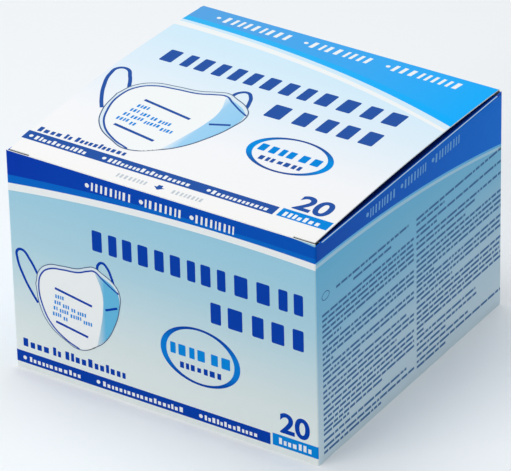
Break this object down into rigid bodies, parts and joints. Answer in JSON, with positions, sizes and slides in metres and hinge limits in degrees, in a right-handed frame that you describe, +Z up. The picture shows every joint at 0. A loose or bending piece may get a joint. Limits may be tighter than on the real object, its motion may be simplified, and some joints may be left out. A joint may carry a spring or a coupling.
{
  "type": "dust mask carton",
  "caption": "Closed tuck-top paperboard carton filled with flat-folded filtering half masks standing on edge; the lid and its flaps open and the front mask lifts out.",
  "frame": {"origin": "middle of the carton's bottom, on the surface that it stands on", "axes": "+Z up; the front panel faces -Y; +X to the right as seen from the front; the lid folds about the rear panel's top edge, at +Y"},
  "size_m": [0.165, 0.162, 0.118],
  "materials": {
    "printed_board": "satin",
    "outer_web": "matte",
    "blown_filter": "matte",
    "cotton_filter": "matte",
    "inner_web": "matte",
    "folded_mask": "matte",
    "elastic": "matte",
    "nose_wire": "satin"
  },
  "bodies": {
    "carton": {"bottom_inner_flap": "printed_board", "bottom_left_dust_flap": "printed_board", "bottom_outer_flap": "printed_board", "bottom_right_dust_flap": "printed_board", "front_panel": "printed_board", "glue_flap": "printed_board", "left_panel": "printed_board", "mask_02_halves": "folded_mask", "mask_03_halves": "folded_mask", "mask_04_halves": "folded_mask", "mask_05_halves": "folded_mask", "mask_06_halves": "folded_mask", "mask_07_halves": "folded_mask", "mask_08_halves": "folded_mask", "mask_09_halves": "folded_mask", "mask_10_halves": "folded_mask", "mask_11_halves": "folded_mask", "mask_12_halves": "folded_mask", "mask_13_halves": "folded_mask", "mask_14_halves": "folded_mask", "mask_15_halves": "folded_mask", "mask_16_halves": "folded_mask", "mask_17_halves": "folded_mask", "mask_18_halves": "folded_mask", "mask_19_halves": "folded_mask", "mask_20_halves": "folded_mask", "other_masks_ear_loops": "elastic", "other_masks_nose_wires": "nose_wire", "rear_panel": "printed_board", "right_panel": "printed_board"},
    "lid": {"lid_panel": "printed_board"},
    "tuck": {"tuck_flap": "printed_board"},
    "left_dust": {"left_dust_flap": "printed_board"},
    "right_dust": {"right_dust_flap": "printed_board"},
    "front_mask": {"mask_01_left_blown_filter_a": "blown_filter", "mask_01_left_blown_filter_b": "blown_filter", "mask_01_left_cotton_filter": "cotton_filter", "mask_01_left_ear_loop": "elastic", "mask_01_left_inner_web": "inner_web", "mask_01_left_outer_web": "outer_web", "mask_01_nose_wire": "nose_wire", "mask_01_right_blown_filter_a": "blown_filter", "mask_01_right_blown_filter_b": "blown_filter", "mask_01_right_cotton_filter": "cotton_filter", "mask_01_right_ear_loop": "elastic", "mask_01_right_inner_web": "inner_web", "mask_01_right_outer_web": "outer_web"}
  },
  "joints": [
    {"name": "lid_fold", "type": "hinge", "parent": "carton", "child": "lid", "pos_m": [0, 0.081, 0.115], "axis": [-1, 0, 0], "range_deg": [0, 215]},
    {"name": "tuck_fold", "type": "hinge", "parent": "lid", "child": "tuck", "pos_m": [0, -0.08035, 0.115], "axis": [-1, 0, 0], "range_deg": [0, 78]},
    {"name": "left_dust_fold", "type": "hinge", "parent": "carton", "child": "left_dust", "pos_m": [-0.0825, 0, 0.1138], "axis": [0, -1, 0], "range_deg": [0, 152]},
    {"name": "right_dust_fold", "type": "hinge", "parent": "carton", "child": "right_dust", "pos_m": [0.0825, 0, 0.1138], "axis": [0, 1, 0], "range_deg": [0, 152]},
    {"name": "mask_lift", "type": "slide", "parent": "carton", "child": "front_mask", "axis": [0, 0, 1], "range_m": [0, 0.1]}
  ],
  "couplings": [
    {"joint": "tuck_fold", "follows": "lid_fold", "ratio": 0.35},
    {"joint": "left_dust_fold", "follows": "lid_fold", "ratio": 0.7},
    {"joint": "right_dust_fold", "follows": "lid_fold", "ratio": 0.7},
    {"joint": "mask_lift", "follows": "lid_fold", "m_per_rad": 0.0265}
  ]
}
